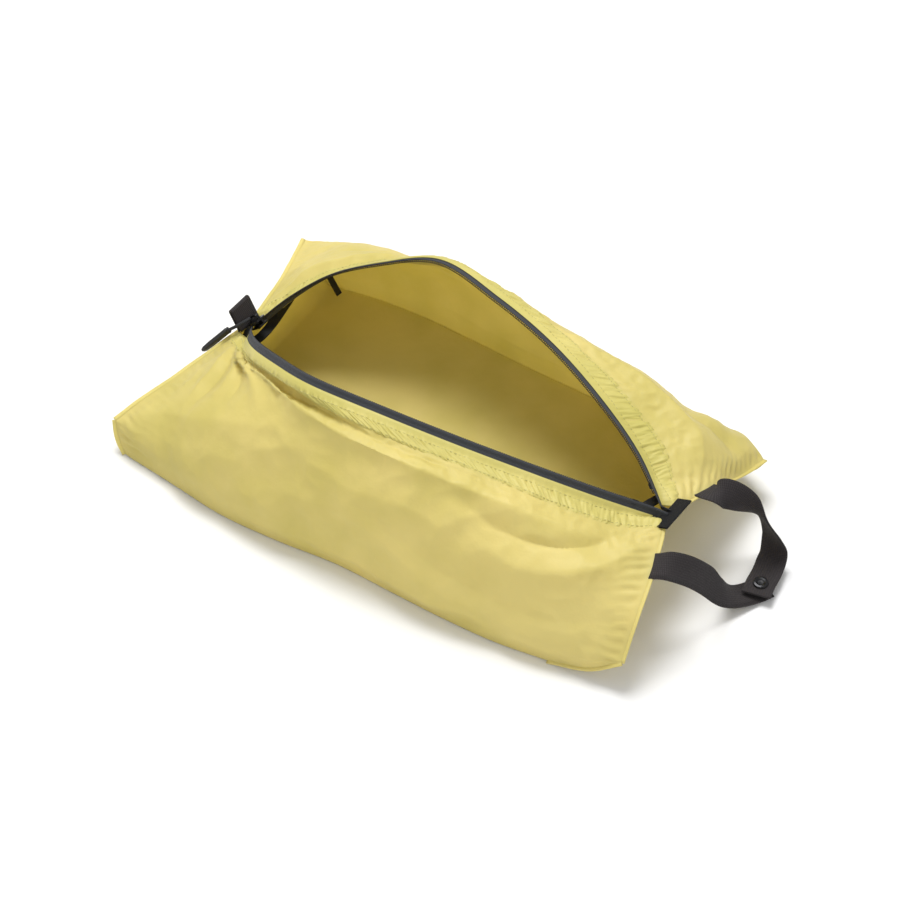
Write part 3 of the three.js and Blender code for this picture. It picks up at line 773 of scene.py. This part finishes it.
def ramp(tree, factor, stops):
    made = node(tree, "ShaderNodeValToRGB", {"Fac": factor})
    elements = made.color_ramp.elements
    while len(elements) < len(stops):
        elements.new(0.5)
    for element, (place, colour) in zip(elements, stops):
        element.position = place
        element.color = (*colour, 1)
    return made.outputs["Color"]


def grey_ramp(tree, factor, stops):
    return ramp(tree, factor, [(place, (value,) * 3) for place, value in stops])


def mixed(tree, factor, first, second, blend_type="MIX"):
    made = node(tree, "ShaderNodeMix", data_type="RGBA", blend_type=blend_type)
    for key, value in ((0, factor), (6, first), (7, second)):
        if isinstance(value, bpy.types.NodeSocket):
            tree.links.new(value, made.inputs[key])
        elif key == 0:
            made.inputs[key].default_value = value
        else:
            made.inputs[key].default_value = (*value, 1)
    return made.outputs[2]


def maths(tree, operation, first, second=0.0):
    made = node(tree, "ShaderNodeMath", operation=operation)
    for key, value in enumerate((first, second)):
        if isinstance(value, bpy.types.NodeSocket):
            tree.links.new(value, made.inputs[key])
        else:
            made.inputs[key].default_value = value
    return made.outputs[0]


WAVE_PERIOD = 0.314  # metres from band to band of a wave texture of scale 1


def bands(tree, where, scale, direction, distortion=0.0, output="UV"):
    inputs = {"Vector": where.outputs[output], "Scale": scale, "Distortion": distortion}
    settings = {"wave_type": "BANDS", "bands_direction": direction}
    return node(tree, "ShaderNodeTexWave", inputs, **settings).outputs["Fac"]


def bump(tree, height, distance, strength=1.0, under=None):
    inputs = {"Height": height, "Distance": distance, "Strength": strength}
    if under is not None:
        inputs["Normal"] = under
    return node(tree, "ShaderNodeBump", inputs).outputs["Normal"]


def output_of(tree):
    return next(n for n in tree.nodes if n.type == "OUTPUT_MATERIAL")


def coated_nylon(name, light, deep, see_through):
    """Thin coated taffeta: a fine square weave, soft crinkles, a low sheen, and light through it."""
    material, tree, shader, where = blank_material(name)
    broad = noise_factor(tree, where, 9, 2.0)
    cloud = noise_factor(tree, where, 38, 3.0)
    broad_part = maths(tree, "MULTIPLY", broad, 0.7)
    tone = maths(tree, "ADD", broad_part, maths(tree, "MULTIPLY", cloud, 0.3))
    colour = ramp(tree, tone, [(0.36, deep), (0.62, light)])
    weave_u = bands(tree, where, 520, "X", 0.6)
    weave_v = bands(tree, where, 520, "Y", 0.6)
    weave = maths(tree, "MULTIPLY", weave_u, weave_v)
    crinkle = noise_factor(tree, where, 150, 4.0)
    fine_crinkle = noise_factor(tree, where, 620, 2.0)
    soft = bump(tree, crinkle, 0.0011, 0.28)
    finer = bump(tree, fine_crinkle, 0.0003, 0.22, soft)
    woven = bump(tree, weave, 0.00008, 0.35, finer)
    tree.links.new(colour, shader.inputs["Base Color"])
    tree.links.new(woven, shader.inputs["Normal"])
    gloss = grey_ramp(tree, crinkle, [(0.3, 0.4), (0.7, 0.52)])
    tree.links.new(gloss, shader.inputs["Roughness"])
    shader.inputs["Specular IOR Level"].default_value = 0.35
    shader.inputs["Sheen Weight"].default_value = 0.12
    shader.inputs["Sheen Roughness"].default_value = 0.4
    behind = node(tree, "ShaderNodeBsdfTranslucent", {"Color": colour, "Normal": woven})
    layers = {0: see_through, 1: shader.outputs[0], 2: behind.outputs[0]}
    joined = node(tree, "ShaderNodeMixShader", layers)
    tree.links.new(joined.outputs[0], output_of(tree).inputs["Surface"])
    return material


def webbing_material(name, dark, pale, rib, warp_width):
    """Ribbed webbing: fine ribs across the strip and the warp's rows along it."""
    material, tree, shader, where = blank_material(name)
    ribs = bands(tree, where, WAVE_PERIOD / rib, "Y", 0.4)
    warp = bands(tree, where, WAVE_PERIOD / warp_width, "X", 0.8)
    fibres = noise_factor(tree, where, 900, 2.0)
    wear = noise_factor(tree, where, 60, 3.0)
    rib_part = maths(tree, "MULTIPLY", ribs, 0.65)
    thread = maths(tree, "ADD", rib_part, maths(tree, "MULTIPLY", warp, 0.35))
    colour = mixed(tree, maths(tree, "MULTIPLY", thread, 0.85), dark, pale)
    worn = mixed(tree, maths(tree, "MULTIPLY", wear, 0.35), colour, tuple(1.25 * c for c in pale))
    height = maths(tree, "ADD", thread, maths(tree, "MULTIPLY", fibres, 0.25))
    tree.links.new(worn, shader.inputs["Base Color"])
    tree.links.new(bump(tree, height, 0.00035, 0.8), shader.inputs["Normal"])
    tree.links.new(grey_ramp(tree, fibres, [(0.3, 0.62), (0.7, 0.86)]), shader.inputs["Roughness"])
    shader.inputs["Specular IOR Level"].default_value = 0.2
    shader.inputs["Sheen Weight"].default_value = 0.04
    shader.inputs["Sheen Roughness"].default_value = 0.5
    return material


def smooth_solid(name, dark, pale, roughness, metallic=0.0, grain=700.0):
    """Moulded or lacquered black parts: faint mottling, fine grain and a little wear."""
    material, tree, shader, where = blank_material(name)
    mottle = noise_factor(tree, where, 180, 4.0)
    speck = noise_factor(tree, where, grain, 2.0)
    tree.links.new(mixed(tree, mottle, dark, pale), shader.inputs["Base Color"])
    tree.links.new(
        grey_ramp(tree, mottle, [(0.3, roughness - 0.08), (0.7, roughness + 0.1)]),
        shader.inputs["Roughness"],
    )
    tree.links.new(bump(tree, speck, 0.0001, 0.35), shader.inputs["Normal"])
    shader.inputs["Metallic"].default_value = metallic
    return material


def thread_material(name, dark, pale):
    material, tree, shader, where = blank_material(name)
    twist = noise_factor(tree, where, 1500, 2.0)
    tree.links.new(mixed(tree, twist, dark, pale), shader.inputs["Base Color"])
    tree.links.new(bump(tree, twist, 0.0001, 0.5), shader.inputs["Normal"])
    tree.links.new(grey_ramp(tree, twist, [(0.3, 0.5), (0.7, 0.7)]), shader.inputs["Roughness"])
    return material


shell_cloth = coated_nylon("nylon_shell", (0.89, 0.785, 0.31), (0.79, 0.7, 0.23), 0.42)
# The hem's nylon is the shell's nylon painted darker and greener: painted shade of the doubled hem beside
# the zip.
hem_cloth_painted_shade = coated_nylon("nylon_hem_painted_shade", (0.84, 0.75, 0.26), (0.72, 0.65, 0.185), 0.34)
yellow_thread = thread_material("yellow_thread", (0.5, 0.455, 0.14), (0.64, 0.58, 0.22))
slate_tape = webbing_material("slate_tape", (0.03, 0.032, 0.036), (0.062, 0.066, 0.074), 0.0009, 0.0011)
charcoal_webbing = webbing_material(
    "charcoal_webbing", (0.016, 0.0135, 0.014), (0.043, 0.037, 0.038), 0.0011, 0.0016
)
black_binding = webbing_material(
    "black_binding", (0.012, 0.012, 0.013), (0.035, 0.035, 0.037), 0.0008, 0.0011
)
label_weave = webbing_material("label_weave", (0.003, 0.003, 0.0035), (0.01, 0.01, 0.011), 0.0005, 0.0005)
cord_braid = webbing_material("cord_braid", (0.012, 0.012, 0.013), (0.045, 0.045, 0.048), 0.0011, 0.0009)
coil_nylon = smooth_solid("coil_nylon", (0.012, 0.012, 0.013), (0.03, 0.03, 0.032), 0.34)
black_lacquer = smooth_solid("black_lacquer", (0.012, 0.012, 0.013), (0.035, 0.035, 0.037), 0.32, 0.7)
grip_rubber = smooth_solid("grip_rubber", (0.012, 0.012, 0.0125), (0.024, 0.024, 0.025), 0.5, 0.0, 1100)


def finish_piece(piece, material, body, nodes=()):
    piece.data.materials.clear()
    piece.data.materials.append(material)
    if body is not None:
        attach(piece, body)
    if nodes:
        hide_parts(*nodes)
    return piece


# ---- The shell of the bag ----
def bending_panel(name, grid, node_name):
    piece = cloth_piece(name, grid, CLOTH, lip_share(grid))
    share = np.zeros(len(piece.data.vertices), np.float32)
    piece.data.attributes["lip_share"].data.foreach_get("value", share)
    piece.data.attributes.remove(piece.data.attributes["lip_share"])
    finish_piece(piece, shell_cloth, None, (node_name,))
    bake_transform(piece)
    return piece


bending_panel("front_shell", front, "front_panel")
bending_panel("back_shell", back, "back_panel")
base_shell = cloth_piece("base_shell", base, CLOTH)
finish_piece(base_shell, shell_cloth, "root", ("base_panel",))

for side, word, grid in [(-1, "front", front_hem), (1, "back", back_hem)]:
    hem = cloth_piece(word + "_hem", grid, HEM_THICKNESS)
    finish_piece(hem, hem_cloth_painted_shade, word + "_lip")
    threads = stitching(word + "_hem_stitching", hem_stitches(grid))
    finish_piece(threads, yellow_thread, word + "_lip")

# ---- Seam welts: the folded edges where the panels meet ----
WELT_TOP = [(-1.5, 0.35), (0.2, 0.55), (1.5, 0.5), (2.0, 0.15)]
WELT_WAVER = 0.5  # how far a welt wanders off its seam
WELT_PROFILE = np.array(WELT_TOP + [(out, -up) for out, up in WELT_TOP[::-1]])


def welt(name, line, count):
    path = smooth_through(line, np.linspace(0, 1, count))
    wobble = ripple(path, 16, 6.2)[:, None] * WELT_WAVER
    outward = unit(path - BAG_MIDDLE * [1, 1, 0.6])
    path = path + outward * wobble
    sections = strip_sections(path, outward, WELT_PROFILE)
    sections[..., 2] = np.maximum(sections[..., 2], 0)
    finish_piece(swept_piece(name, sections, arc_lengths(path)), shell_cloth, "root")


welt("left_end_welt", LEFT_SEAM, 160)
welt("right_end_welt", RIGHT_SEAM, 160)
for corner, edge in CORNER_EDGES.items():
    welt(corner + "_corner_welt", edge, 30)

# ---- Zip tapes and coils ----
# The tape's section, curled over the coil at its inner edge: distance from the zip's middle, height.
TAPE_TOP = [(11, 0.4), (8.5, 0.42), (6, 0.42), (4.4, 0.46), (3.6, 0.8), (2.9, 1.35), (2.1, 1.62)]
TAPE_LIP = [(1.35, 1.5), (0.9, 1.05), (1.2, 1.0), (1.55, 1.18)]
TAPE_UNDER = [(2.1, 1.25), (2.7, 1.05), (3.3, 0.4), (3.8, -0.1), (4.4, -0.42), (6, -0.42)]
TAPE_HEM = [(8.5, -0.42), (11, -0.4)]
TAPE_OUTLINE = np.array(TAPE_TOP + TAPE_LIP + TAPE_UNDER + TAPE_HEM)
TAPE_TUCK = (5.0, 8.0)  # how far each end of a tape runs on under the seam
COIL_CENTRE = 1.5
COIL_PITCH = 1.5
COIL_HALF_WIDTH = 0.95
COIL_HALF_HEIGHT = 0.72
COIL_WIRE = 0.3
COIL_STEPS = 9  # stations in one turn

for side, word in [(-1, "front"), (1, "back")]:
    u = np.linspace(0.0, 1.0, 240)
    sections = lip_points(side, u[:, None], TAPE_OUTLINE[None, :, 0], TAPE_OUTLINE[None, :, 1])
    first = sections[:1] - TAPE_TUCK[0] * zip_line
    last = sections[-1:] + TAPE_TUCK[1] * zip_line
    sections = np.concatenate([first, sections, last])
    tape = swept_piece("zip_band_" + word, sections, arc_lengths(sections[:, 0]))
    finish_piece(tape, slate_tape, word + "_lip", ("zip_tape_" + word,))
    even = np.linspace(0.03, 0.97, 4000)
    distance = arc_lengths(lip_points(side, even, COIL_CENTRE))
    turns = distance[-1] / COIL_PITCH
    marks = np.linspace(0, distance[-1], int(turns * COIL_STEPS))
    u = np.interp(marks, distance, even)
    angle = marks / COIL_PITCH * 2 * math.pi
    centre = lip_points(side, u, COIL_CENTRE)
    out = COIL_CENTRE + COIL_HALF_WIDTH * np.cos(angle)
    helix = lip_points(side, u, out, COIL_HALF_HEIGHT * np.sin(angle))
    wire = tube_sections(helix, helix - centre, COIL_WIRE, 5)
    coil = swept_piece("zip_teeth_" + word, wire, marks)
    finish_piece(coil, coil_nylon, word + "_lip", ("coil_" + word,))

# ---- Webbing: two handle straps and the tab ----
WEBBING_WIDTH, WEBBING_THICKNESS = 20, 1.3
STRAP_PROFILE = rounded_strip(WEBBING_WIDTH, WEBBING_THICKNESS)
FRONT_STRAP = [
    ((184, -43, 53), (0.32, -0.92, -0.21)),
    ((193, -40.8, 57), (0.32, -0.92, -0.21)),
    ((200, -36.5, 57), (0.25, -0.88, -0.4)),
    ((207.5, -28, 50), (0.15, -0.8, -0.6)),
    ((214.5, -16, 35), (0.15, -0.8, -0.58)),
    ((220, -4, 16), (0.45, -0.8, -0.36)),
    ((226, 9, 4.5), (0.8, -0.6, 0)),
    ((232, 20.5, 1.9), (0.84, -0.52, 0)),
    ((236, 28.3, 1.9), (0.86, -0.5, 0)),
]
BACK_STRAP = [
    ((175.5, 37.5, 51.5), (0.15, 0.96, -0.22)),
    ((187, 37, 55), (0.12, 0.97, -0.15)),
    ((195.5, 43, 53), (0.1, 0.75, 0.6)),
    ((206.5, 49.5, 45), (0.2, 0.1, 1)),
    ((217, 52, 35), (0.4, -0.55, 0.72)),
    ((223.5, 54, 21), (0.75, -0.3, 0.5)),
    ((227, 52, 10), (0.93, 0.15, 0.3)),
    ((229.5, 44, 6.6), (0.94, 0.33, 0)),
    ((232, 34, 6.6), (0.96, 0.28, 0)),
    ((233.5, 24.5, 6.6), (0.97, 0.24, 0)),
    ((236, 14.5, 6.6), (0.97, 0.24, 0)),
]
for name, stations, body, node_name in [
    ("front_strap_webbing", FRONT_STRAP, "handle_front", "strap_front"),
    ("back_strap_webbing", BACK_STRAP, "handle_back", "strap_back"),
]:
    shares = np.linspace(0, 1, 180)
    path = smooth_through([at for at, wide in stations], shares)
    wide = smooth_through([wide for at, wide in stations], shares)
    strap = swept_piece(name, strip_sections(path, wide, STRAP_PROFILE), arc_lengths(path))
    finish_piece(strap, charcoal_webbing, body, (node_name,))


FOLD_ROOT = 4  # length of a folded strip inside its seam


def folded_strip(name, anchor, pitch_degrees, reach, gap, profile, steps):
    """A strip folded double that leaves anchor at an angle, its width along Y."""
    bend = np.linspace(-math.pi / 2, math.pi / 2, steps)
    straight = np.linspace(-FOLD_ROOT, reach - gap, steps)
    flat = [np.stack([straight, np.full(steps, -gap)], axis=-1)]
    flat.append(np.stack([reach - gap + gap * np.cos(bend), gap * np.sin(bend)], axis=-1)[1:-1])
    flat.append(np.stack([straight[::-1], np.full(steps, gap)], axis=-1))
    flat = np.concatenate(flat)
    turn = math.radians(pitch_degrees)
    path = np.zeros((len(flat), 3))
    path[:, 0] = flat[:, 0] * math.cos(turn) - flat[:, 1] * math.sin(turn)
    path[:, 2] = flat[:, 0] * math.sin(turn) + flat[:, 1] * math.cos(turn)
    path += np.array(anchor)
    wide = np.tile([0.0, 1.0, 0.0], (len(path), 1))
    return swept_piece(name, strip_sections(path, wide, profile), arc_lengths(path))


TAB_ROOT = (-166, 0, 52)
TAB_PITCH = 118  # degrees up from +X
TAB_REACH, TAB_HALF_GAP = 13, 1.25  # length to the fold, and half the distance between its layers
LABEL_ROOT = (176.5, 0.5, 60.5)
LABEL_PITCH = 22
LABEL_REACH, LABEL_HALF_GAP = 6.8, 0.48
LABEL_WIDTH, LABEL_THICKNESS = 30, 0.45
tab = folded_strip("tab_webbing", TAB_ROOT, TAB_PITCH, TAB_REACH, TAB_HALF_GAP, STRAP_PROFILE, 14)
finish_piece(tab, charcoal_webbing, "tab", ("tab_loop",))
label_profile = rounded_strip(LABEL_WIDTH, LABEL_THICKNESS)
label = folded_strip(
    "label_fold", LABEL_ROOT, LABEL_PITCH, LABEL_REACH, LABEL_HALF_GAP, label_profile, 12
)
finish_piece(label, label_weave, "label", ("label",))

# ---- Pull: a braided cord and a moulded grip ----
PULL_CORD = [(-160.5, -2.8, 57.6), (-162.4, -8.6, 57), (-166.4, -12.7, 54), (-171.4, -14, 49.3)]
PULL_GRIP = [
    (-170.6, -13.8, 50.2),
    (-172.1, -14.2, 48.5),
    (-177, -17.6, 42.2),
    (-182.2, -21.4, 35.6),
    (-186.6, -24.8, 30),
]
CORD_RADIUS = 1.15
CORD_STATIONS, CORD_SIDES = 40, 12
cord_path = smooth_through(PULL_CORD, np.linspace(0, 1, CORD_STATIONS))
cord_side = np.tile([0.0, 0.0, 1.0], (CORD_STATIONS, 1))
cord_sections = tube_sections(cord_path, cord_side, CORD_RADIUS, CORD_SIDES)
cord = swept_piece("pull_cord_braid", cord_sections, arc_lengths(cord_path))
finish_piece(cord, cord_braid, "pull", ("pull_cord",))

GRIP_STATIONS, GRIP_SIDES = 60, 20
grip_path = smooth_through(PULL_GRIP, np.linspace(0, 1, GRIP_STATIONS))
GRIP_SHARES = [0, 0.04, 0.08, 0.12, 0.16, 0.22, 0.35, 0.7, 0.9, 0.97, 1]
GRIP_HALF_WIDTHS = [1.2, 2.3, 2.4, 1.9, 1.9, 2.5, 2.8, 2.8, 2.5, 1.7, 0.5]
GRIP_FLATNESS = 0.66
half = np.interp(np.linspace(0, 1, GRIP_STATIONS), GRIP_SHARES, GRIP_HALF_WIDTHS)
grip_turn = np.linspace(0, 2 * math.pi, GRIP_SIDES, endpoint=False)
round_square = (np.abs(np.cos(grip_turn)) ** 4 + np.abs(np.sin(grip_turn)) ** 4) ** -0.25
grip_ring = np.stack([np.cos(grip_turn), GRIP_FLATNESS * np.sin(grip_turn)], axis=-1)
grip_ring = grip_ring * round_square[:, None]
grip_along = unit(np.gradient(grip_path, axis=0))
grip_wide = unit(np.cross(grip_along, np.cross([0.45, 0.05, 0.9], grip_along)))
grip_up = np.cross(grip_along, grip_wide)
grip_spokes = grip_wide[:, None] * grip_ring[None, :, :1]
grip_spokes = grip_spokes + grip_up[:, None] * grip_ring[None, :, 1:]
grip_sections = grip_path[:, None] + grip_spokes * half[:, None, None]
grip = swept_piece("pull_grip_bar", grip_sections, arc_lengths(grip_path))
finish_piece(grip, grip_rubber, "pull", ("pull_grip",))

# ---- CAD pieces that show as they are ----
BINDINGS = ["left_seam_binding", "right_seam_binding"]
BINDINGS += ["corner_binding_" + corner for corner in CORNER_EDGES]
LACQUERED = ["top_stop_front", "top_stop_back", "bottom_stop", "slider_body", "slider_bridge"]
LACQUERED += ["snap_post", "snap_stud", "snap_socket", "snap_cap"]
for node_names, material in [(BINDINGS, black_binding), (LACQUERED, black_lacquer)]:
    for node_name in node_names:
        slots = frame["nodes"][node_name].data.materials
        slots.clear()
        slots.append(material)

# ---- Floor, light and camera ----
FLOOR_SIZE = 8
FLOOR_DROP = 0.0004  # keeps the floor clear of the bag's underside
bpy.ops.mesh.primitive_plane_add(size=FLOOR_SIZE, location=(0, 0, -FLOOR_DROP))
floor = bpy.context.object
floor.name = "floor"
floor_finish, floor_tree, floor_shader, floor_where = blank_material("pale_floor")
grain = noise_factor(floor_tree, floor_where, 30, 4.0)
floor_colour = ramp(floor_tree, grain, [(0.3, (0.86, 0.86, 0.86)), (0.7, (0.88, 0.88, 0.88))])
floor_tree.links.new(floor_colour, floor_shader.inputs["Base Color"])
floor_shader.inputs["Roughness"].default_value = 0.75
floor.data.materials.append(floor_finish)

WORLD_STRENGTH = 0.52
world = bpy.data.worlds.new("studio")
world.use_nodes = True
world.node_tree.nodes["Background"].inputs["Color"].default_value = (1, 1, 1, 1)
world.node_tree.nodes["Background"].inputs["Strength"].default_value = WORLD_STRENGTH
bpy.context.scene.world = world
bpy.context.scene.view_settings.view_transform = "Standard"


def soft_light(name, place, aim, size, power):
    lamp = bpy.data.lights.new(name, "AREA")
    lamp.shape = "RECTANGLE"
    lamp.size, lamp.size_y = size
    lamp.energy = power
    holder = bpy.data.objects.new(name, lamp)
    holder.location = place
    holder.rotation_euler = (Vector(aim) - Vector(place)).to_track_quat("-Z", "Y").to_euler()
    bpy.context.scene.collection.objects.link(holder)


LIT_POINT = (0, 0, 0.03)
soft_light("overhead_box", (-0.5, 0.5, 1.9), LIT_POINT, (1.0, 1.0), power=38)
soft_light("front_fill", (0.9, -1.5, 1.0), LIT_POINT, (1.4, 1.0), power=8)

VIEW_POINT = Vector((0.0112, -0.0112, 0.0344))
VIEW_SIDE = Vector((0.398, -0.581, 0.710)).normalized()
VIEW_DISTANCE = 2.4
SENSOR_WIDTH, FOCAL_LENGTH = 36, 143.5
camera_data = bpy.data.cameras.new("camera")
camera_data.sensor_width = SENSOR_WIDTH
camera_data.lens = FOCAL_LENGTH
camera = bpy.data.objects.new("camera", camera_data)
camera.location = VIEW_POINT + VIEW_SIDE * VIEW_DISTANCE
camera.rotation_euler = VIEW_SIDE.to_track_quat("Z", "Y").to_euler()
bpy.context.scene.collection.objects.link(camera)
bpy.context.scene.camera = camera
